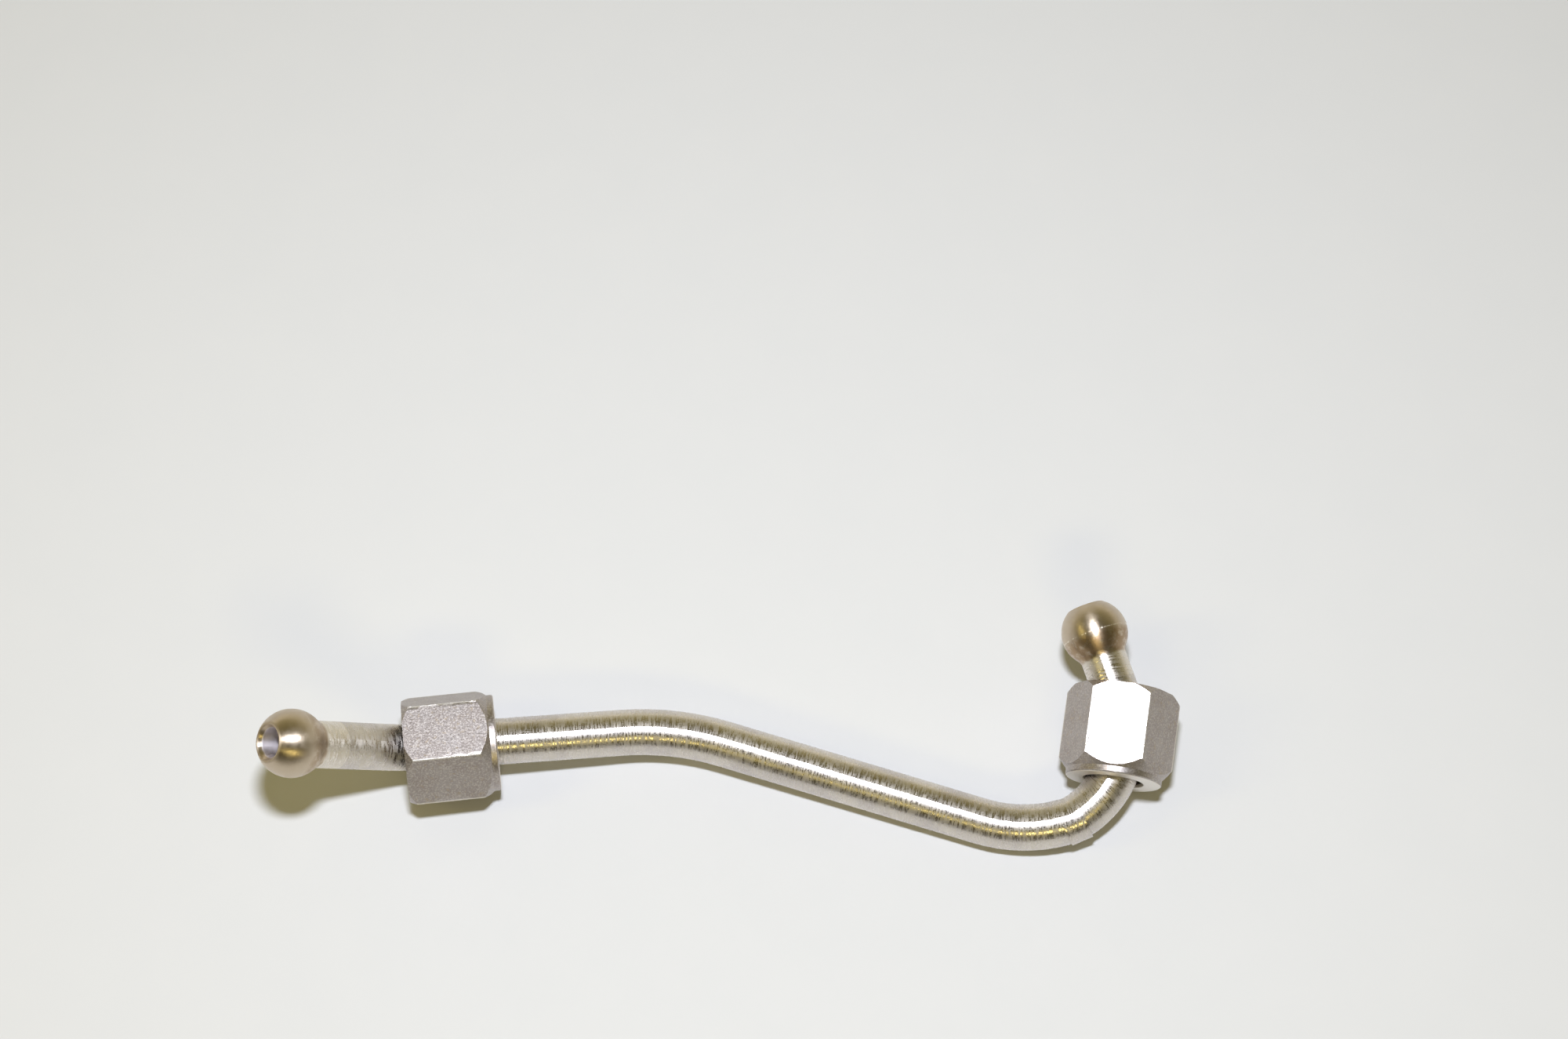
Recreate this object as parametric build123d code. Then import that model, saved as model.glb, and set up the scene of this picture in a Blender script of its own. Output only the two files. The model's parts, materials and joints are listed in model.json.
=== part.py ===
from build123d import *
import math
import os

# High-pressure fuel line: one bent steel tube with a ball nose at each end, and two loose union nuts.
# Millimetres, +Z up, lying on a floor at Z = 0. The origin is the middle of the footprint.

# Tube
TUBE_OD = 8.0
TUBE_BORE = 5.0

# Ball nose, upset from the tube's own metal
BALL_DIAMETER = 11.6
MOUTH_FLAT_DIAMETER = 6.6
MOUTH_COUNTERSINK_DIAMETER = 6.2
MOUTH_COUNTERSINK_ANGLE = 75.0
NECK_BLEND_RADIUS = 1.5

# Union nut, for an M14 x 1.5 thread
HEX_ACROSS_FLATS = 17.0
NUT_LENGTH = 15.8
COLLAR_DIAMETER = 16.6
COLLAR_THICKNESS = 1.2
COLLAR_EDGE_BREAK = 0.25
REAR_CHAMFER_LENGTH = 1.85
FRONT_FACE_DIAMETER = 17.5
FRONT_CHAMFER_LENGTH = 1.35
THREAD_ROOT_DIAMETER = 14.0
THREAD_MOUTH_DIAMETER = 14.6
SEAT_CONE_ANGLE = 60.0
REAR_HOLE_DIAMETER = 9.8
REAR_HOLE_LENGTH = 2.4
REAR_COUNTERSINK_DIAMETER = 10.6

# Bend plan: the corners of the centreline as laid out on the floor, and the radius at each bend
LEFT_BALL_CENTRE = Vector(-72.7, -9.1, 25.8)
LEFT_NECK_CORNER = Vector(-55.5, -4.1, 9.4)
SWEEP_CORNER = Vector(-9.5, 0.8, 5.5)
HOOK_CORNER = Vector(52.7, -18.4, 3.8)
RIGHT_NECK_CORNER = Vector(72.7, -11.0, 9.0)
RIGHT_BALL_CENTRE = Vector(63.8, 15.6, 13.5)
BEND_RADII = [13.5, 44.5, 26.0, 17.5]

# Where each nut has slid to: the centre of its rear face, its heading, its climb and its turn
LEFT_NUT_REAR = Vector(-40.0, -2.7, 8.4)
LEFT_NUT_HEADING = 187.3
LEFT_NUT_CLIMB = 2.9
LEFT_NUT_TURN = 0.0
RIGHT_NUT_REAR = Vector(66.35, -9.85, 8.4)
RIGHT_NUT_HEADING = 81.0
RIGHT_NUT_CLIMB = 9.4
RIGHT_NUT_TURN = -7.0


def centreline_corners() -> list:
    """Corner points of the line, from the left ball's centre to the right ball's centre."""
    return [
        LEFT_BALL_CENTRE,
        LEFT_NECK_CORNER,
        SWEEP_CORNER,
        HOOK_CORNER,
        RIGHT_NECK_CORNER,
        RIGHT_BALL_CENTRE,
    ]


def neck_reach() -> float:
    """How far behind the ball's centre the tube's plain wall begins, at the foot of the neck's blend."""
    blend_centre_x = TUBE_OD / 2 + NECK_BLEND_RADIUS
    return math.sqrt((BALL_DIAMETER / 2 + NECK_BLEND_RADIUS) ** 2 - blend_centre_x**2)


def nose_section() -> Face:
    """Half section of a ball nose in the XZ plane: ball centre at the origin, mouth towards +Z."""
    ball_radius = BALL_DIAMETER / 2
    neck_radius = TUBE_OD / 2
    bore_radius = TUBE_BORE / 2
    flat_radius = MOUTH_FLAT_DIAMETER / 2
    sink_radius = MOUTH_COUNTERSINK_DIAMETER / 2
    mouth_z = math.sqrt(ball_radius**2 - flat_radius**2)
    sink_z = mouth_z - (sink_radius - bore_radius) / math.tan(math.radians(MOUTH_COUNTERSINK_ANGLE / 2))

    # The blend arc touches the ball where the line from its own centre to the ball's centre crosses it.
    touch = ball_radius / (ball_radius + NECK_BLEND_RADIUS)
    neck_end = (neck_radius, -neck_reach())
    ball_foot = ((neck_radius + NECK_BLEND_RADIUS) * touch, -neck_reach() * touch)

    outline = Polyline((bore_radius, -neck_reach()), neck_end)
    outline += TangentArc(neck_end, ball_foot, tangent=(0, 1))
    outline += ThreePointArc(ball_foot, (ball_radius, 0), (flat_radius, mouth_z))
    outline += Polyline(
        (flat_radius, mouth_z),
        (sink_radius, mouth_z),
        (bore_radius, sink_z),
        (bore_radius, -neck_reach()),
    )
    return Plane.XZ * make_face(outline)


def ball_nose(centre: Vector, outward: Vector) -> Part:
    """One ball nose with the blend of its neck, seated at a ball centre and facing outward."""
    nose = revolve(nose_section(), Axis.Z)
    return Plane(origin=centre, z_dir=outward) * nose


def line_tube() -> Part:
    """The bent tube between the noses, joined to both noses as one piece of steel."""
    corners = centreline_corners()
    left_outward = (corners[0] - corners[1]).normalized()
    right_outward = (corners[-1] - corners[-2]).normalized()
    corners[0] = corners[0] - left_outward * neck_reach()
    corners[-1] = corners[-1] - right_outward * neck_reach()

    path = FilletPolyline(*corners, radius=BEND_RADII)
    ring = Circle(TUBE_OD / 2) - Circle(TUBE_BORE / 2)
    run = sweep(Plane(origin=path @ 0, z_dir=path % 0) * ring, path=path)
    return run + ball_nose(LEFT_BALL_CENTRE, left_outward) + ball_nose(RIGHT_BALL_CENTRE, right_outward)


def nut_turned_shape() -> Part:
    """What the lathe leaves of the hexagon bar: collar, rear chamfer and front chamfer."""
    collar_radius = COLLAR_DIAMETER / 2
    corner_radius = HEX_ACROSS_FLATS / math.sqrt(3)
    outline = Polyline(
        (0, 0),
        (collar_radius - COLLAR_EDGE_BREAK, 0),
        (collar_radius, COLLAR_EDGE_BREAK),
        (collar_radius, COLLAR_THICKNESS),
        (corner_radius, COLLAR_THICKNESS + REAR_CHAMFER_LENGTH),
        (corner_radius, NUT_LENGTH - FRONT_CHAMFER_LENGTH),
        (FRONT_FACE_DIAMETER / 2, NUT_LENGTH),
        (0, NUT_LENGTH),
        close=True,
    )
    return revolve(Plane.XZ * make_face(outline), Axis.Z)


def nut_hollow() -> Part:
    """Rear hole, seat cone for the ball's back, and tapped hole at the diameter of the thread's root."""
    rear_radius = REAR_HOLE_DIAMETER / 2
    rear_sink_radius = REAR_COUNTERSINK_DIAMETER / 2
    root_radius = THREAD_ROOT_DIAMETER / 2
    mouth_radius = THREAD_MOUTH_DIAMETER / 2
    cone_end = REAR_HOLE_LENGTH + (root_radius - rear_radius) / math.tan(math.radians(SEAT_CONE_ANGLE / 2))
    outline = Polyline(
        (0, 0),
        (rear_sink_radius, 0),
        (rear_radius, rear_sink_radius - rear_radius),
        (rear_radius, REAR_HOLE_LENGTH),
        (root_radius, cone_end),
        (root_radius, NUT_LENGTH - (mouth_radius - root_radius)),
        (mouth_radius, NUT_LENGTH),
        (0, NUT_LENGTH),
        close=True,
    )
    return revolve(Plane.XZ * make_face(outline), Axis.Z)


def union_nut() -> Part:
    """One union nut, rear face at the origin and front towards +Z, with a flat facing +X."""
    hexagon = RegularPolygon(HEX_ACROSS_FLATS / 2, side_count=6, major_radius=False, rotation=30)
    bar = extrude(hexagon, amount=NUT_LENGTH)
    return (bar & nut_turned_shape()) - nut_hollow()


def nut_frame(rear: Vector, heading: float, climb: float, turn: float) -> Plane:
    """Where a nut sits: origin in its rear face, Z out of its front, X square to one of its flats.

    The heading is counted from +X towards +Y and the climb from the floor. At a turn of 0 the flat
    that X meets faces as nearly up as the climb lets it, and the turn is right-handed about the axis.
    """
    axis = Vector(1, 0, 0).rotate(Axis.Y, -climb).rotate(Axis.Z, heading)
    upward = Vector(0, 0, 1).rotate(Axis.Y, -climb).rotate(Axis.Z, heading)
    return Plane(origin=rear, x_dir=upward.rotate(Axis((0, 0, 0), axis), turn), z_dir=axis)


def left_nut_frame() -> Plane:
    """The left nut's place on the sweep of the tube."""
    return nut_frame(LEFT_NUT_REAR, LEFT_NUT_HEADING, LEFT_NUT_CLIMB, LEFT_NUT_TURN)


def right_nut_frame() -> Plane:
    """The right nut's place on the hook of the tube."""
    return nut_frame(RIGHT_NUT_REAR, RIGHT_NUT_HEADING, RIGHT_NUT_CLIMB, RIGHT_NUT_TURN)


def main():
    """Build the three pieces, move the middle of their footprint to the origin and write them."""
    pieces = {
        "line_tube": line_tube(),
        "left_nut": left_nut_frame() * union_nut(),
        "right_nut": right_nut_frame() * union_nut(),
    }
    box = Compound(list(pieces.values())).bounding_box()
    footprint_middle = Vector(box.center().X, box.center().Y, box.min.Z)
    os.makedirs("parts", exist_ok=True)
    for name, piece in pieces.items():
        export_step(Pos(-footprint_middle) * piece, f"parts/{name}.step")


main()
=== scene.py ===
"""Looks of a bent steel fuel line: its steel finishes, the nuts' thread ridges, floor, lamps and camera.

Everything is in metres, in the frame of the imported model, unless a comment or docstring says otherwise.
"""

import json
import logging
import math
from dataclasses import dataclass
from enum import Enum
from typing import Union

import bmesh
import bpy
from mathutils import Matrix, Quaternion, Vector


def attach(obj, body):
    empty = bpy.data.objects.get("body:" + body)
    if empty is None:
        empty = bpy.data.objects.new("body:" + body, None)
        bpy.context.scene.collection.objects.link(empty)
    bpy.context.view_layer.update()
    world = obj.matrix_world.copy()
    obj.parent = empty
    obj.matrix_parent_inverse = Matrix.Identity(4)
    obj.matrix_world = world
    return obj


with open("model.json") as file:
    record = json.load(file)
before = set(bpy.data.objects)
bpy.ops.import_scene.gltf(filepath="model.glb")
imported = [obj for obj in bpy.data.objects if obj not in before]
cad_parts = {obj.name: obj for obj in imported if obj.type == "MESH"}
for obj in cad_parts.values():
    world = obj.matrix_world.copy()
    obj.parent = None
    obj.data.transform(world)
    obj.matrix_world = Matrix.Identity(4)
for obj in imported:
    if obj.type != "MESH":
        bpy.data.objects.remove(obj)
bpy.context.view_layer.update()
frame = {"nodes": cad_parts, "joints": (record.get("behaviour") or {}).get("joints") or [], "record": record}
LOG = logging.getLogger("fuel_line")
MM = 0.001

# From one flat of a hexagon to the next.
SIXTH_TURN = math.tau / 6

# The tube's bend plan in millimetres: the corners of its centreline between the balls, and their radii.
BEND_CORNERS = ((-55.34, -4.28, 9.42), (-9.34, 0.62, 5.52), (52.86, -18.58, 3.82), (72.86, -11.18, 9.02))
BEND_RADII = (13.5, 44.5, 26.0, 17.5)

COOL_LIGHT = (0.84, 0.88, 1.0)
WARM_LIGHT = (1.0, 0.84, 0.34)

# The direction that a grain in one dimension is laid along.
ONE_WAY = Vector((1, 0, 0))
# The vector operations whose result is a number.
MEASURES = ("DISTANCE", "DOT_PRODUCT", "LENGTH")

# What a node's input may be given: another node's output or a plain value.
Socket = bpy.types.NodeSocket
Number = Union[Socket, float]
Colour = Union[Socket, tuple]
Place = Union[Socket, Vector]


class Side(Enum):
    """Which end of the line a form belongs to."""

    LEFT = "left"
    RIGHT = "right"


class SeatMark(Enum):
    """How deep a ring the mating cone has pressed round a ball nose."""

    FAINT = 0.25
    CLEAR = 1.0


@dataclass(frozen=True)
class Grain:
    """A cloudy grain: its size, how many finer layers it has and how strong they are."""

    size: float
    detail: float = 2.0
    rough: float = 0.6


@dataclass(frozen=True)
class Fade:
    """A change from a start to an end, while the value that it follows goes from low to high."""

    low: float
    high: float
    start: float = 0.0
    end: float = 1.0

    def times(self, size: float) -> "Fade":
        """The same change over values that are counted in units of a size."""
        return Fade(self.low * size, self.high * size, self.start, self.end)

    def moved(self, distance: float) -> "Fade":
        """The same change over values that are counted from a distance."""
        return Fade(self.low + distance, self.high + distance, self.start, self.end)

    def write(self, node: bpy.types.Node) -> None:
        """Set a Map Range node to this change.

        Args:
            node: the node.
        """
        numbers = {"From Min": self.low, "From Max": self.high, "To Min": self.start, "To Max": self.end}
        for name, number in numbers.items():
            node.inputs[name].default_value = number


class Bench:
    """Lays out the shader nodes of one material."""

    def __init__(self, name: str) -> None:
        """Start an empty material with a shader and an output.

        Args:
            name: the material's name.
        """
        self.material = bpy.data.materials.new(name)
        self.material.use_nodes = True
        self.tree = self.material.node_tree
        self.tree.nodes.clear()
        output = self.tree.nodes.new("ShaderNodeOutputMaterial")
        self.shader = self.tree.nodes.new("ShaderNodeBsdfPrincipled")
        self.tree.links.new(self.shader.outputs["BSDF"], output.inputs["Surface"])
        self.coordinates = self.tree.nodes.new("ShaderNodeTexCoord")

    @property
    def point(self) -> Socket:
        """The point on the piece, in its own coordinates."""
        return self.coordinates.outputs["Object"]

    @property
    def outward(self) -> Socket:
        """The surface's own normal, in the piece's coordinates."""
        return self.coordinates.outputs["Normal"]

    def feed(self, socket: Socket, value: object) -> None:
        """Give a socket its value, by a link if it comes from another node.

        Args:
            socket: the input that gets the value.
            value: another node's output, or a plain number, colour or vector.
        """
        if isinstance(value, Socket):
            self.tree.links.new(value, socket)
        else:
            socket.default_value = value

    def surface(self, name: str, value: object) -> None:
        """Give one of the shader's own inputs its value."""
        self.feed(self.shader.inputs[name], value)

    def number(self, operation: str, *values: Number) -> Socket:
        """One step of arithmetic.

        Args:
            operation: Blender's name of the operation.
            values: its numbers, in order.

        Returns:
            The result.
        """
        node = self.tree.nodes.new("ShaderNodeMath")
        node.operation = operation
        for socket, value in zip(node.inputs, values):
            self.feed(socket, value)
        return node.outputs["Value"]

    def product(self, *values: Number) -> Socket:
        """Numbers multiplied with each other.

        Args:
            values: at least two numbers.

        Returns:
            The product.
        """
        result = values[0]
        for value in values[1:]:
            result = self.number("MULTIPLY", result, value)
        return result

    def vector(self, operation: str, *values: Place) -> Socket:
        """One step of vector arithmetic.

        Args:
            operation: Blender's name of the operation.
            values: its vectors, in order.

        Returns:
            The result, which is a number for the operations in MEASURES.
        """
        node = self.tree.nodes.new("ShaderNodeVectorMath")
        node.operation = operation
        for socket, value in zip(node.inputs, values):
            self.feed(socket, value)
        return node.outputs["Value" if operation in MEASURES else "Vector"]

    def scaled(self, vector: Place, amount: Number) -> Socket:
        """A vector times a number.

        Args:
            vector: the vector.
            amount: the number.

        Returns:
            The scaled vector.
        """
        node = self.tree.nodes.new("ShaderNodeVectorMath")
        node.operation = "SCALE"
        self.feed(node.inputs[0], vector)
        self.feed(node.inputs["Scale"], amount)
        return node.outputs["Vector"]

    def reach(self, start: Vector, direction: Vector) -> Socket:
        """How far the shaded point is from a start along a direction of length one."""
        return self.vector("DOT_PRODUCT", self.vector("SUBTRACT", self.point, start), direction)

    def grain(self, point: Socket, grain: Grain) -> Socket:
        """Lay a cloudy grain over a point.

        Args:
            point: the point.
            grain: the grain, with its size in the point's own unit.

        Returns:
            A value between 0 and 1.
        """
        node = self.tree.nodes.new("ShaderNodeTexNoise")
        self.feed(node.inputs["Vector"], point)
        node.inputs["Scale"].default_value = 1.0 / grain.size
        node.inputs["Detail"].default_value = grain.detail
        node.inputs["Roughness"].default_value = grain.rough
        return node.outputs["Fac"]

    def fade(self, value: Socket, fade: Fade) -> Socket:
        """Follow a value with a smooth change.

        Args:
            value: the value that is followed.
            fade: the change.

        Returns:
            The change's result, which holds its start below it and its end above it.
        """
        node = self.tree.nodes.new("ShaderNodeMapRange")
        node.interpolation_type = "SMOOTHSTEP"
        fade.write(node)
        self.feed(node.inputs["Value"], value)
        return node.outputs["Result"]

    def tint(self, amount: Socket, first: Colour, second: Colour) -> Socket:
        """Mix two colours.

        Args:
            amount: 0 for the first colour and 1 for the second.
            first: the first colour.
            second: the second colour.

        Returns:
            The mixed colour.
        """
        node = self.tree.nodes.new("ShaderNodeMix")
        node.data_type = "RGBA"
        colours = [socket for socket in node.inputs if socket.type == "RGBA"]
        self.feed(node.inputs["Factor"], amount)
        self.feed(colours[0], first)
        self.feed(colours[1], second)
        return next(socket for socket in node.outputs if socket.type == "RGBA")


class Coat:
    """The finish of bare metal while its layers are laid on."""

    def __init__(self, bench: Bench, colour: tuple, speckle: Grain, clouds: Grain, blots: Grain) -> None:
        """Start with one colour, polished and flat, and with the three grains that the layers follow.

        Args:
            bench: where the nodes go.
            colour: the colour under all layers.
            speckle: the finest grain.
            clouds: the widest grain.
            blots: the grain between them.
        """
        self.bench = bench
        self.colour: Colour = colour
        self.rough: Number = 0.0
        self.height: Number = 0.0
        self.speckle = bench.grain(bench.point, speckle)
        self.clouds = bench.grain(bench.point, clouds)
        self.blots = bench.grain(bench.point, blots)

    def paint(self, mask: Socket, colour: tuple) -> None:
        """Lay a colour over the others where a mask is 1."""
        self.colour = self.bench.tint(mask, self.colour, colour)

    def dull(self, mask: Socket, rough: Number) -> None:
        """Give the metal another roughness where a mask is 1."""
        kept = self.bench.product(self.rough, self.bench.number("SUBTRACT", 1.0, mask))
        self.rough = self.bench.number("MULTIPLY_ADD", mask, rough, kept)

    def dull_further(self, mask: Socket, change: float) -> None:
        """Add to the roughness where a mask is 1."""
        self.rough = self.bench.number("MULTIPLY_ADD", mask, change, self.rough)

    def lift(self, mask: Socket, height: float) -> None:
        """Add to the relief where a mask is 1."""
        self.height = self.bench.number("MULTIPLY_ADD", mask, height, self.height)

    def finish(self) -> None:
        """Hand the layers to the shader."""
        relief = self.bench.tree.nodes.new("ShaderNodeBump")
        relief.inputs["Distance"].default_value = 1.0
        self.bench.feed(relief.inputs["Height"], self.height)
        self.bench.surface("Metallic", 1.0)
        self.bench.surface("Base Color", self.colour)
        self.bench.surface("Roughness", self.rough)
        self.bench.surface("Normal", relief.outputs["Normal"])


@dataclass(frozen=True)
class Spine:
    """The axis of a turned form, in the model's frame."""

    origin: Vector
    axis: Vector

    def along(self, bench: Bench) -> Socket:
        """How far the shaded point is along the axis."""
        return bench.reach(self.origin, self.axis)

    def radius(self, bench: Bench, along: Socket) -> Socket:
        """How far the shaded point is from the axis, given how far along the axis it is."""
        away = bench.vector("SUBTRACT", bench.point, self.origin)
        return bench.vector("DISTANCE", away, bench.scaled(self.axis, along))


@dataclass(frozen=True)
class NutAxes(Spine):
    """A nut's axis, and the way that one of its flats faces."""

    flat: Vector

    def matrix(self) -> Matrix:
        """The move from the nut's own coordinates into the model's frame."""
        turn = Matrix((self.flat, self.axis.cross(self.flat), self.axis)).transposed()
        return Matrix.Translation(self.origin) @ turn.to_4x4()


@dataclass(frozen=True)
class Bend:
    """One bend of the tube's centreline, from where a straight run ends to where the next begins."""

    start: Vector
    end: Vector
    inward: Vector
    onward: Vector
    hinge: Vector
    middle: Vector
    radius: float
    turn: float


@dataclass(frozen=True)
class Route:
    """The tube's centreline, which its finish follows."""

    corners: tuple
    radii: tuple

    def bends(self) -> list[Bend]:
        """Work out the bends.

        Returns:
            The bends in order, from the left ball to the right one.
        """
        bends = []
        stretches = zip(self.corners, self.corners[1:], self.corners[2:], self.radii)
        for before, corner, after, radius in stretches:
            inward = (corner - before).normalized()
            onward = (after - corner).normalized()
            turn = inward.angle(onward)
            reach = radius * math.tan(turn / 2)
            hinge = inward.cross(onward).normalized()
            start = corner - inward * reach
            end = corner + onward * reach
            middle = start + hinge.cross(inward) * radius
            bends.append(Bend(start, end, inward, onward, hinge, middle, radius, turn))
        return bends

    def passed(self, bench: Bench) -> list[tuple]:
        """Which bends the shaded point has reached, and which it has left behind.

        Args:
            bench: where the nodes go.

        Returns:
            A pair of masks for each bend, in order.
        """
        masks = []
        past = 1.0
        for bend in self.bends():
            begun = bench.number("GREATER_THAN", bench.reach(bend.start, bend.inward), 0.0)
            done = bench.number("GREATER_THAN", bench.reach(bend.end, bend.onward), 0.0)
            reached = bench.product(past, begun)
            past = bench.product(reached, done)
            masks.append((reached, past))
        return masks

    def along(self, bench: Bench, passed: list[tuple]) -> Socket:
        """How far the shaded point is along the tube.

        Args:
            bench: where the nodes go.
            passed: the masks of the bends.

        Returns:
            The distance from the left ball's centre.
        """
        bends = self.bends()
        first_run = (bends[0].start - self.corners[0]).length
        distance = bench.number("MINIMUM", bench.reach(self.corners[0], bends[0].inward), first_run)
        ends = [bend.start for bend in bends[1:]] + [self.corners[-1] + bends[-1].onward]
        for bend, (reached, left), end in zip(bends, passed, ends):
            away = bench.vector("SUBTRACT", bench.point, bend.middle)
            ahead = bench.vector("DOT_PRODUCT", away, bend.inward)
            outward = bench.vector("DOT_PRODUCT", away, (bend.start - bend.middle).normalized())
            angle = bench.number("MINIMUM", bench.number("ARCTAN2", ahead, outward), bend.turn)
            distance = bench.number("MULTIPLY_ADD", bench.product(angle, bend.radius), reached, distance)
            run = bench.number("MINIMUM", bench.reach(bend.end, bend.onward), (end - bend.end).length)
            distance = bench.number("MULTIPLY_ADD", run, left, distance)
        return distance

    def heading(self, bench: Bench, passed: list[tuple]) -> Socket:
        """Which way the tube runs at the shaded point.

        Args:
            bench: where the nodes go.
            passed: the masks of the bends.

        Returns:
            The direction.
        """
        bends = self.bends()
        heading = bends[0].inward
        for bend, (reached, left) in zip(bends, passed):
            away = bench.vector("SUBTRACT", bench.point, bend.middle)
            swung = bench.vector("NORMALIZE", bench.vector("CROSS_PRODUCT", bend.hinge, away))
            for mask, direction in ((reached, swung), (left, bend.onward)):
                change = bench.vector("SUBTRACT", direction, heading)
                heading = bench.vector("ADD", heading, bench.scaled(change, mask))
        return heading


@dataclass(frozen=True)
class Nose:
    """How the shaded point lies to one ball nose: how far out it is, and if it is near or on the ball."""

    spine: Spine
    along: Socket
    near: Socket
    on_ball: Socket


@dataclass(frozen=True)
class LineSteel:
    """Satin steel of the tube, ground in fine lines round it, and burnished on the ball noses."""

    satin: tuple = (0.70, 0.655, 0.60, 1.0)
    grey: tuple = (0.60, 0.56, 0.535, 1.0)
    ball: tuple = (0.56, 0.47, 0.36, 1.0)
    stain: tuple = (0.36, 0.25, 0.15, 1.0)
    bright: tuple = (0.86, 0.80, 0.70, 1.0)
    bored: tuple = (0.72, 0.67, 0.68, 1.0)

    speckle: Grain = Grain(0.22 * MM)
    clouds: Grain = Grain(6 * MM, 3.0, 0.55)
    blots: Grain = Grain(1.3 * MM, 5.0, 0.62)

    # The ground lines. Their grain is laid over a point that is counted in widths and lengths of a line.
    tube_radius: float = 4.0 * MM
    line_width: float = 0.28 * MM
    line_length: float = 1.8 * MM
    lines: Grain = Grain(1.0)
    greyed: Fade = Fade(0.38, 0.66)
    bright_lines: Fade = Fade(0.48, 0.62, 0.0, 0.30)
    dark_lines: Fade = Fade(0.50, 0.38, 0.0, 0.16)
    line_share: float = 0.6
    speckle_share: float = 0.4
    roughness: Fade = Fade(0.43, 0.57, 0.27, 0.59)
    line_height: float = 0.010 * MM
    speckle_height: float = 0.007 * MM
    stretch: float = 0.62

    # The noses. Distances along a nose are counted outwards from its ball's centre.
    nose_reach: Fade = Fade(11 * MM, 10 * MM)
    neck_start: Fade = Fade(-9.3 * MM, -9.1 * MM, 0.0, 0.55)
    ball_radius: float = 5.8 * MM
    ball_edge: Fade = Fade(1.10, 1.02)
    ball_roughness: Fade = Fade(0.3, 0.7, 0.30, 0.40)
    stain_start: Fade = Fade(-0.1 * MM, -1.6 * MM)
    stained: Fade = Fade(0.34, 0.54)
    least_stain: float = 0.4
    more_stain: float = 0.5
    turning: Grain = Grain(0.11 * MM, 1.0, 0.5)
    turning_height: float = 0.024 * MM

    # The ring that the mating cone has pressed round a ball, and its gaps
    ring_place: float = -0.15 * MM
    ring_wander: float = 0.5 * MM
    ring_edge: Fade = Fade(0.16 * MM, 0.032 * MM)
    ring_scratches: Fade = Fade(0.35, 0.6)
    ring_gaps: Fade = Fade(0.46, 0.54)
    ring_depth: float = 0.02 * MM

    # The bore, and the lip round its mouth
    bore_radius: float = 2.5 * MM
    bore_edge: Fade = Fade(1.06, 1.02)
    lip_start: Fade = Fade(4.5 * MM, 4.7 * MM)
    bored_dullness: float = 0.25

    def ground(self, bench: Bench, along: Socket) -> Coat:
        """Start the tube's coat with its satin and the fine lines ground round it.

        Args:
            bench: where the nodes go.
            along: how far the shaded point is along the tube.

        Returns:
            The coat.
        """
        coat = Coat(bench, self.satin, self.speckle, self.clouds, self.blots)
        lengthwise = bench.scaled(ONE_WAY, bench.number("DIVIDE", along, self.line_width))
        crosswise = bench.scaled(bench.outward, self.tube_radius / self.line_length)
        lines = bench.grain(bench.vector("ADD", lengthwise, crosswise), self.lines)
        coat.paint(bench.fade(coat.clouds, self.greyed), self.grey)
        coat.paint(bench.fade(lines, self.bright_lines), self.bright)
        coat.paint(bench.fade(lines, self.dark_lines), self.stain)
        lines_part = bench.product(lines, self.line_share)
        grit = bench.number("MULTIPLY_ADD", coat.speckle, self.speckle_share, lines_part)
        coat.rough = bench.fade(grit, self.roughness)
        coat.lift(lines, self.line_height)
        coat.lift(coat.speckle, self.speckle_height)
        return coat

    def nose(self, bench: Bench, spine: Spine) -> Nose:
        """Work out how the shaded point lies to a ball nose.

        Args:
            bench: where the nodes go.
            spine: the nose's axis, from its ball's centre.

        Returns:
            The nose as the other methods need it.
        """
        gap = bench.vector("DISTANCE", bench.point, spine.origin)
        near = bench.fade(gap, self.nose_reach)
        on_ball = bench.fade(gap, self.ball_edge.times(self.ball_radius))
        return Nose(spine, spine.along(bench), near, on_ball)

    def brighten_neck(self, coat: Coat, nose: Nose) -> None:
        """Brighten the short neck behind a ball, which is ground cleaner than the tube."""
        on_neck = coat.bench.product(nose.near, coat.bench.fade(nose.along, self.neck_start))
        coat.paint(on_neck, self.bright)

    def burnish(self, coat: Coat, nose: Nose, mark: SeatMark) -> None:
        """Burnish a ball in fine turned lines, and stain its back.

        Args:
            coat: the tube's coat.
            nose: the nose.
            mark: how hard its ball has been pressed.
        """
        bench = coat.bench
        behind = bench.fade(nose.along, self.stain_start)
        strength = self.least_stain + self.more_stain * mark.value
        coat.paint(nose.on_ball, self.ball)
        stained = bench.product(bench.fade(coat.blots, self.stained), behind, nose.on_ball, strength)
        coat.paint(stained, self.stain)
        coat.dull(nose.on_ball, bench.fade(coat.blots, self.ball_roughness))
        turned = bench.grain(bench.scaled(ONE_WAY, nose.along), self.turning)
        coat.lift(bench.product(turned, nose.on_ball), self.turning_height)

    def press_ring(self, coat: Coat, nose: Nose, mark: SeatMark) -> None:
        """Scratch a broken ring round a ball, where the mating cone has pressed.

        Args:
            coat: the tube's coat.
            nose: the nose.
            mark: how hard its ball has been pressed.
        """
        bench = coat.bench
        wandering = bench.number("MULTIPLY_ADD", coat.blots, self.ring_wander, nose.along)
        off_ring = bench.number("ABSOLUTE", bench.number("SUBTRACT", wandering, self.ring_place))
        scratches = bench.fade(coat.speckle, self.ring_scratches)
        gaps = bench.fade(coat.blots, self.ring_gaps)
        on_ring = bench.fade(off_ring, self.ring_edge)
        ring = bench.product(on_ring, scratches, gaps, nose.on_ball, mark.value)
        coat.paint(ring, self.bright)
        coat.lift(ring, -self.ring_depth)

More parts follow.
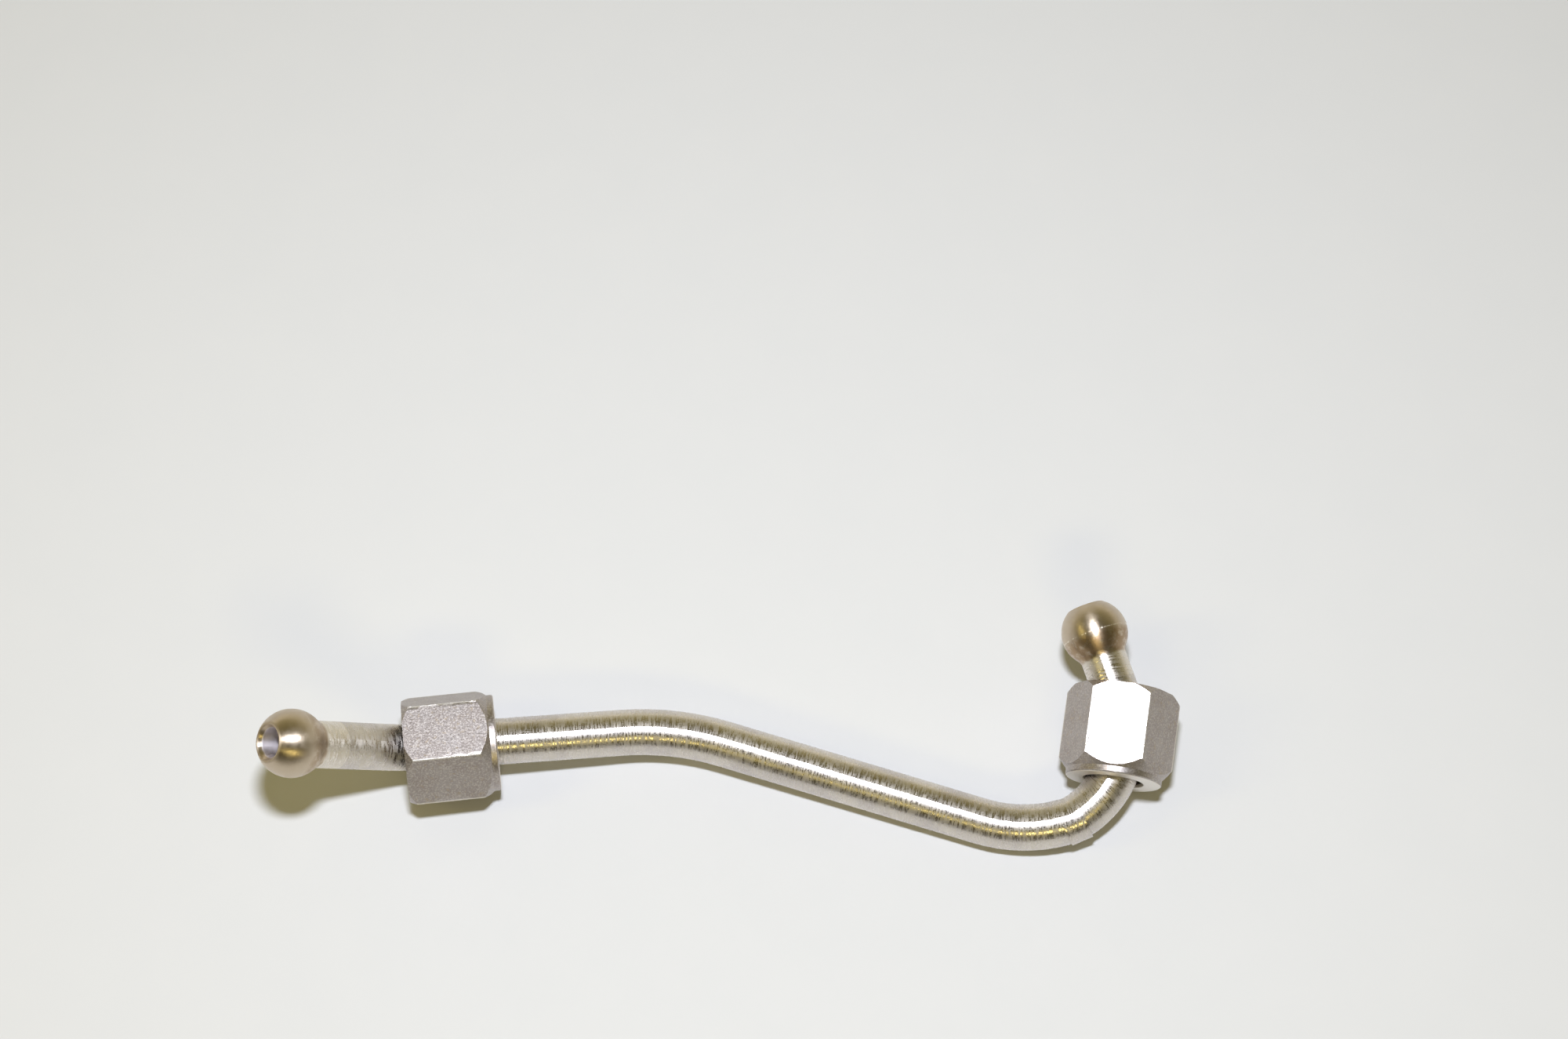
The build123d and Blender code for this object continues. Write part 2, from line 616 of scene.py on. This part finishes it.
    def bore(self, coat: Coat, nose: Nose) -> None:
        """Colour the bore, and leave it and the lip round its mouth duller than the ball.

        Args:
            coat: the tube's coat.
            nose: the nose.
        """
        bench = coat.bench
        radius = nose.spine.radius(bench, nose.along)
        bored = bench.product(nose.near, bench.fade(radius, self.bore_edge.times(self.bore_radius)))
        lip = bench.product(nose.near, bench.fade(nose.along, self.lip_start))
        coat.paint(bored, self.bored)
        coat.dull_further(bench.number("MAXIMUM", bored, lip), self.bored_dullness)

    def make(self, route: Route, noses: list[tuple]) -> bpy.types.Material:
        """Make the tube's material.

        Args:
            route: the tube's centreline.
            noses: pairs of a nose's axis and the depth of its seat mark.

        Returns:
            The material.
        """
        bench = Bench("line_steel_satin")
        passed = route.passed(bench)
        coat = self.ground(bench, route.along(bench, passed))
        for spine, mark in noses:
            nose = self.nose(bench, spine)
            self.brighten_neck(coat, nose)
            self.burnish(coat, nose, mark)
            self.press_ring(coat, nose, mark)
            self.bore(coat, nose)
        coat.finish()
        bench.surface("Anisotropic", self.stretch)
        bench.surface("Tangent", route.heading(bench, passed))
        return bench.material


@dataclass(frozen=True)
class NutSteel:
    """Plated steel of a union nut: speckled flats, turned ends, softened bright edges and painted shade in
    the bore.
    """

    flat: tuple = (0.38, 0.335, 0.31, 1.0)
    pale: tuple = (0.42, 0.38, 0.36, 1.0)
    bronze: tuple = (0.42, 0.33, 0.22, 1.0)
    # bright: the colour of the bright specks and worn corners, and of the rear face, where it is partly a
    # painted reflection
    bright: tuple = (0.80, 0.76, 0.70, 1.0)
    # dark: the colour of the dark specks, and of the painted shade in the bore
    dark: tuple = (0.16, 0.14, 0.125, 1.0)

    half_across_flats: float = 8.5 * MM
    bore_radius: float = 7.3 * MM

    # The plating
    speckle: Grain = Grain(0.30 * MM)
    clouds: Grain = Grain(3.2 * MM, 4.0, 0.6)
    blots: Grain = Grain(0.8 * MM, 5.0, 0.65)
    paled: Fade = Fade(0.35, 0.65)
    bright_specks: Fade = Fade(0.52, 0.62, 0.0, 0.35)
    dark_specks: Fade = Fade(0.46, 0.36, 0.0, 0.20)
    bronzed: Fade = Fade(0.55, 0.68, 0.0, 0.55)
    roughness: Fade = Fade(0.25, 0.75, 0.35, 0.49)

    # The hexagon's corners, counted outwards from the corner radius
    worn: Fade = Fade(-0.10 * MM, 0.04 * MM, 0.0, 0.8)
    wear_wander: float = 0.16 * MM
    softened: Fade = Fade(-0.30 * MM, 0.0)
    unevenly: Fade = Fade(0.42, 0.58)
    softening: float = 0.05 * MM

    # The painted shade in the bore, counted outwards from the bore radius, and the rear face, painted bright
    # as a machined face with a painted reflection on it
    shade_in_bore: Fade = Fade(0.0, -0.2 * MM)
    past_rear_edge: Fade = Fade(0.3 * MM, 0.8 * MM)
    rear_face: Fade = Fade(0.12 * MM, 0.04 * MM)

    # The flats, counted outwards from half across flats, and the fine rings on what was turned
    flat_edge: Fade = Fade(-0.06 * MM, -0.02 * MM)
    speckle_height: float = 0.018 * MM
    ring_pitch: float = 0.14 * MM
    ring_height: float = 0.0006 * MM

    @property
    def corner_radius(self) -> float:
        """How far the hexagon's corners are from its axis."""
        return self.half_across_flats / math.cos(SIXTH_TURN / 2)

    def plate(self, bench: Bench) -> Coat:
        """Start the nut's coat with its plating: clouds, bright and dark specks, and bronze spots.

        Args:
            bench: where the nodes go.

        Returns:
            The coat.
        """
        coat = Coat(bench, self.flat, self.speckle, self.clouds, self.blots)
        coat.paint(bench.fade(coat.clouds, self.paled), self.pale)
        coat.paint(bench.fade(coat.speckle, self.bright_specks), self.bright)
        coat.paint(bench.fade(coat.speckle, self.dark_specks), self.dark)
        coat.paint(bench.fade(coat.blots, self.bronzed), self.bronze)
        coat.rough = bench.fade(coat.speckle, self.roughness)
        return coat

    def wear_corners(self, coat: Coat, radius: Socket) -> None:
        """Wear the hexagon's corners bright, and soften them unevenly.

        Args:
            coat: the nut's coat.
            radius: how far the shaded point is from the axis.
        """
        bench = coat.bench
        wandering = bench.number("MULTIPLY_ADD", coat.blots, self.wear_wander, radius)
        coat.paint(bench.fade(wandering, self.worn.moved(self.corner_radius)), self.bright)
        softened = bench.fade(radius, self.softened.moved(self.corner_radius))
        coat.lift(bench.product(softened, bench.fade(coat.clouds, self.unevenly)), -self.softening)

    def paint_shade_and_bright_rear(self, coat: Coat, along: Socket, radius: Socket) -> None:
        """Paint shade into the nut's bore, and paint its rear face bright, a machined face with a painted
        reflection.

        Args:
            coat: the nut's coat.
            along: how far the shaded point is along the axis, from the rear face.
            radius: how far it is from the axis.
        """
        bench = coat.bench
        # Painted shade: the bore is darkened past its rear edge, where shade falls
        painted_shade = bench.fade(radius, self.shade_in_bore.moved(self.bore_radius))
        coat.paint(bench.product(painted_shade, bench.fade(along, self.past_rear_edge)), self.dark)
        # The rear face is a machined face, painted bright; part of that brightness is a painted reflection
        # of the lit floor
        coat.paint(bench.fade(along, self.rear_face), self.bright)

    def flat_reach(self, bench: Bench, axes: NutAxes) -> Socket:
        """How far out the shaded point is towards the nearest of the six flats.

        Args:
            bench: where the nodes go.
            axes: the nut's axis and one of its flats.

        Returns:
            The distance, which is half across flats on a flat.
        """
        farthest = 0.0
        for turn in (-SIXTH_TURN, 0.0, SIXTH_TURN):
            direction = Quaternion(axes.axis, turn) @ axes.flat
            reach = bench.number("ABSOLUTE", bench.reach(axes.origin, direction))
            farthest = bench.number("MAXIMUM", farthest, reach)
        return farthest

    def texture(self, coat: Coat, axes: NutAxes, along: Socket, radius: Socket) -> None:
        """Raise the speckle on the flats, and fine rings on what was turned.

        Args:
            coat: the nut's coat.
            axes: the nut's axis and one of its flats.
            along: how far the shaded point is along the axis.
            radius: how far it is from the axis.
        """
        bench = coat.bench
        on_flat = bench.fade(self.flat_reach(bench, axes), self.flat_edge.moved(self.half_across_flats))
        turned = bench.number("SUBTRACT", 1.0, on_flat)
        turns = bench.product(bench.number("ADD", along, radius), math.tau / self.ring_pitch)
        coat.lift(bench.product(coat.speckle, on_flat), self.speckle_height)
        coat.lift(bench.product(bench.number("SINE", turns), turned), self.ring_height)

    def make(self, name: str, axes: NutAxes) -> bpy.types.Material:
        """Make one nut's material.

        Args:
            name: the material's name.
            axes: the nut's axis and one of its flats.

        Returns:
            The material.
        """
        bench = Bench(name)
        along = axes.along(bench)
        radius = axes.radius(bench, along)
        coat = self.plate(bench)
        self.wear_corners(coat, radius)
        self.paint_shade_and_bright_rear(coat, along, radius)
        self.texture(coat, axes, along, radius)
        coat.finish()
        return bench.material


def dress(node: str, material: bpy.types.Material) -> None:
    """Put a material on a piece of the CAD model, in place of what it had.

    Args:
        node: the piece's name.
        material: its material.
    """
    slots = frame["nodes"][node].data.materials
    slots.clear()
    slots.append(material)


def add(name: str, data: bpy.types.ID) -> bpy.types.Object:
    """Make an object and put it in the scene.

    Args:
        name: its name.
        data: its mesh, light or camera.

    Returns:
        The object.
    """
    made = bpy.data.objects.new(name, data)
    bpy.context.scene.collection.objects.link(made)
    return made


@dataclass(frozen=True)
class TubeLine:
    """The one-piece bent tube with its two ball noses."""

    corners: tuple
    radii: tuple
    node: str = "line_tube"
    finish: LineSteel = LineSteel()

    def nose_spine(self, side: Side) -> Spine:
        """A nose's axis, from the record's ball seat on its side.

        Args:
            side: the nose's side.

        Returns:
            The axis, from the ball's centre out of the mouth.
        """
        name = f"{side.value}_ball_seat"
        seat = next(mount for mount in frame["record"]["mounts"] if mount["name"] == name)
        return Spine(Vector(seat["pos_m"]), Vector(seat["axis"]).normalized())

    def build(self) -> None:
        """Put the satin steel on the tube."""
        left = self.nose_spine(Side.LEFT)
        right = self.nose_spine(Side.RIGHT)
        route = Route((left.origin, *self.corners, right.origin), self.radii)
        noses = [(left, SeatMark.FAINT), (right, SeatMark.CLEAR)]
        dress(self.node, self.finish.make(route, noses))
        LOG.info("%s dressed", self.node)


@dataclass(frozen=True)
class UnionNut:
    """One loose union nut and the ridge of its thread.

    The ridge rises out of the bore over half a turn at each end, and its foot is sunk in the bore's wall.
    The slacks are how far off a face of the mesh may be and still count as one of the flats.
    """

    node: str
    joint: str
    slot: str
    finish: NutSteel = NutSteel()
    root_radius: float = 7.0 * MM
    crest_radius: float = 6.19 * MM
    pitch: float = 1.5 * MM
    foot_share: float = 7 / 16
    crest_share: float = 1 / 8
    sunk: float = 0.03 * MM
    thread_start: float = 6.4 * MM
    thread_end: float = 15.2 * MM
    run_out_turns: float = 0.5
    least_rise: float = 0.02
    steps_per_turn: int = 72
    flat_slack: float = 0.01 * MM
    square_slack: float = 0.001

    def axes(self) -> NutAxes:
        """The nut's directions, from its joint and from the flats of its mesh.

        Returns:
            The origin in the rear face, the axis out of the front and the way one flat faces.
        """
        joint = next(each for each in frame["joints"] if each["name"] == self.joint)
        origin = Vector(joint["pos_m"])
        axis = Vector(joint["axis"]).normalized()
        flats = []
        for face in frame["nodes"][self.node].data.polygons:
            reach = (face.center - origin).dot(face.normal)
            beside_axis = abs(face.normal.dot(axis)) < self.square_slack
            if beside_axis and abs(reach - self.finish.half_across_flats) < self.flat_slack:
                flats.append(face.normal.copy())
        upward = max(flats, key=lambda normal: normal.z)
        return NutAxes(origin, axis, (upward - axis * upward.dot(axis)).normalized())

    def ridge_corners(self, step: int, steps: int) -> list[Vector]:
        """The corners of the ridge's section at one step of its helix.

        Args:
            step: the step, counted from 0.
            steps: the last step.

        Returns:
            The section's four corners, from foot to foot, in the nut's own coordinates.
        """
        turns = step / self.steps_per_turn
        turns_left = (steps - step) / self.steps_per_turn
        rise = min(1.0, turns / self.run_out_turns, turns_left / self.run_out_turns)
        foot = self.root_radius + self.sunk
        crest = foot + (self.crest_radius - foot) * max(rise, self.least_rise)
        middle = self.thread_start + self.pitch / 2 + self.pitch * turns
        shape = ((foot, -self.foot_share), (crest, -self.crest_share), (crest, self.crest_share),
                 (foot, self.foot_share))
        angle = math.tau * turns
        return [Vector((radius * math.cos(angle), radius * math.sin(angle), middle + self.pitch * share))
                for radius, share in shape]

    def thread_mesh(self) -> bpy.types.Mesh:
        """The thread's ridge as one helix that rises out of the bore and sinks back into it.

        Returns:
            The ridge's mesh, in the nut's own coordinates.
        """
        steps = int((self.thread_end - self.thread_start - self.pitch) / self.pitch * self.steps_per_turn)
        work = bmesh.new()
        rows = [[work.verts.new(corner) for corner in self.ridge_corners(step, steps)]
                for step in range(steps + 1)]
        for first, second in zip(rows, rows[1:]):
            for corner in range(len(first)):
                before = corner - 1
                work.faces.new((first[before], first[corner], second[corner], second[before]))
        work.faces.new(rows[0])
        work.faces.new(rows[-1][::-1])
        bmesh.ops.recalc_face_normals(work, faces=work.faces)
        mesh = bpy.data.meshes.new(f"{self.node}_thread")
        work.to_mesh(mesh)
        work.free()
        return mesh

    def build(self) -> None:
        """Dress the nut and put the thread's ridge in its bore."""
        axes = self.axes()
        material = self.finish.make(f"{self.node}_plated", axes)
        dress(self.node, material)
        mesh = self.thread_mesh()
        mesh.transform(axes.matrix())
        mesh.materials.append(material)
        ridge = add(f"{self.node}_thread", mesh)
        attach(ridge, self.node)
        LOG.info("%s dressed, with %d thread faces", self.node, len(mesh.polygons))


@dataclass(frozen=True)
class Lamp:
    """One oval lamp that points at the line."""

    name: str
    place: Vector
    width: float
    depth: float
    power: float
    colour: tuple

    def build(self) -> None:
        """Hang the lamp in the scene."""
        data = bpy.data.lights.new(self.name, "AREA")
        data.shape = "ELLIPSE"
        data.size = self.width
        data.size_y = self.depth
        data.energy = self.power
        data.color = self.colour
        lamp = add(self.name, data)
        lamp.location = self.place
        lamp.rotation_euler = (-self.place).to_track_quat("-Z", "Y").to_euler()
        LOG.info("%s hung", self.name)


@dataclass(frozen=True)
class Floor:
    """The pale floor, with a faint mottle, which stays pale where the lamps don't reach."""

    half_size: float = 2.0
    colour: tuple = (0.75, 0.75, 0.745, 1.0)
    mottle: tuple = (0.725, 0.73, 0.73, 1.0)
    clouds: Grain = Grain(14 * MM, 4.0, 0.6)
    roughness: float = 0.9
    glow: Fade = Fade(0.22, 0.75, 0.0, 0.55)

    def material(self) -> bpy.types.Material:
        """Make the floor's material.

        Returns:
            The material.
        """
        bench = Bench("floor_paper")
        clouds = bench.grain(bench.point, self.clouds)
        bench.surface("Base Color", bench.tint(clouds, self.colour, self.mottle))
        bench.surface("Roughness", self.roughness)
        bench.surface("Emission Color", self.colour)
        path = bench.tree.nodes.new("ShaderNodeLightPath")
        seen = bench.number("MAXIMUM", path.outputs["Is Camera Ray"], path.outputs["Is Glossy Ray"])
        seen = bench.number("MAXIMUM", seen, path.outputs["Is Transmission Ray"])
        far = bench.fade(bench.vector("LENGTH", bench.point), self.glow)
        bench.surface("Emission Strength", bench.product(seen, far))
        return bench.material

    def build(self) -> None:
        """Lay the floor."""
        half = self.half_size
        corners = [(-half, -half, 0), (half, -half, 0), (half, half, 0), (-half, half, 0)]
        mesh = bpy.data.meshes.new("floor")
        mesh.from_pydata(corners, [], [(0, 1, 2, 3)])
        mesh.materials.append(self.material())
        floor = add("floor", mesh)
        LOG.info("floor laid")


@dataclass(frozen=True)
class Room:
    """The room's own light: a pale horizon under a dimmer, warmer ceiling, and stronger behind the line.

    The heights and the depths are those of a direction of length one.
    """

    horizon: tuple = (0.56, 0.53, 0.45, 1.0)
    halfway: tuple = (0.21, 0.185, 0.095, 1.0)
    overhead: tuple = (0.085, 0.073, 0.025, 1.0)
    halfway_height: float = 0.4
    strength: Fade = Fade(-0.8, 0.9, 0.35, 1.95)

    def build(self) -> None:
        """Fill the scene with the room's light."""
        world = bpy.data.worlds.new("room")
        world.use_nodes = True
        nodes = world.node_tree.nodes
        links = world.node_tree.links
        nodes.clear()
        direction = nodes.new("ShaderNodeTexCoord")
        split = nodes.new("ShaderNodeSeparateXYZ")
        links.new(direction.outputs["Generated"], split.inputs[0])
        heights = nodes.new("ShaderNodeValToRGB")
        heights.color_ramp.elements[0].color = self.horizon
        heights.color_ramp.elements[1].color = self.overhead
        heights.color_ramp.elements.new(self.halfway_height).color = self.halfway
        links.new(split.outputs["Z"], heights.inputs["Fac"])
        depths = nodes.new("ShaderNodeMapRange")
        self.strength.write(depths)
        links.new(split.outputs["Y"], depths.inputs["Value"])
        light = nodes.new("ShaderNodeBackground")
        links.new(heights.outputs["Color"], light.inputs["Color"])
        links.new(depths.outputs["Result"], light.inputs["Strength"])
        output = nodes.new("ShaderNodeOutputWorld")
        links.new(light.outputs["Background"], output.inputs["Surface"])
        bpy.context.scene.world = world
        LOG.info("room filled in")


@dataclass(frozen=True)
class Viewpoint:
    """The camera, where the photograph was taken. Angles are in degrees, lens and sensor in millimetres."""

    place: Vector
    pitch: float = 24.0
    roll: float = -0.33
    lens: float = 69.05
    sensor: float = 36.0
    nearest: float = 0.01

    def build(self) -> None:
        """Set up the camera."""
        data = bpy.data.cameras.new("camera")
        data.lens = self.lens
        data.sensor_width = self.sensor
        data.clip_start = self.nearest
        camera = add("camera", data)
        pitch = Matrix.Rotation(math.radians(self.pitch), 4, "X")
        roll = Matrix.Rotation(math.radians(self.roll), 4, "Y")
        camera.matrix_world = Matrix.Translation(self.place) @ pitch @ roll
        bpy.context.scene.camera = camera
        LOG.info("camera set up")


def main() -> None:
    """Build the studio and dress each piece, in order."""
    logging.basicConfig(level=logging.INFO)
    bpy.context.scene.view_settings.view_transform = "Standard"
    Viewpoint(place=Vector((6.82, -179.53, 500.02)) * MM).build()
    Floor().build()
    Room().build()
    Lamp("flash", place=Vector((6.84, -46.53, 570.5)) * MM, width=70 * MM, depth=40 * MM,
         power=3.2, colour=COOL_LIGHT).build()
    Lamp("front_lamp", place=Vector((80, -700, 580)) * MM, width=420 * MM, depth=120 * MM,
         power=0.95, colour=WARM_LIGHT).build()
    Lamp("side_lamp", place=Vector((-640, -120, 560)) * MM, width=120 * MM, depth=300 * MM,
         power=0.55, colour=WARM_LIGHT).build()
    corners = tuple(Vector(corner) * MM for corner in BEND_CORNERS)
    radii = tuple(radius * MM for radius in BEND_RADII)
    TubeLine(corners, radii).build()
    UnionNut("left_nut", "left_nut_spin", "left_nut_steel").build()
    UnionNut("right_nut", "right_nut_spin", "right_nut_steel").build()


if __name__ == "__main__":
    main()
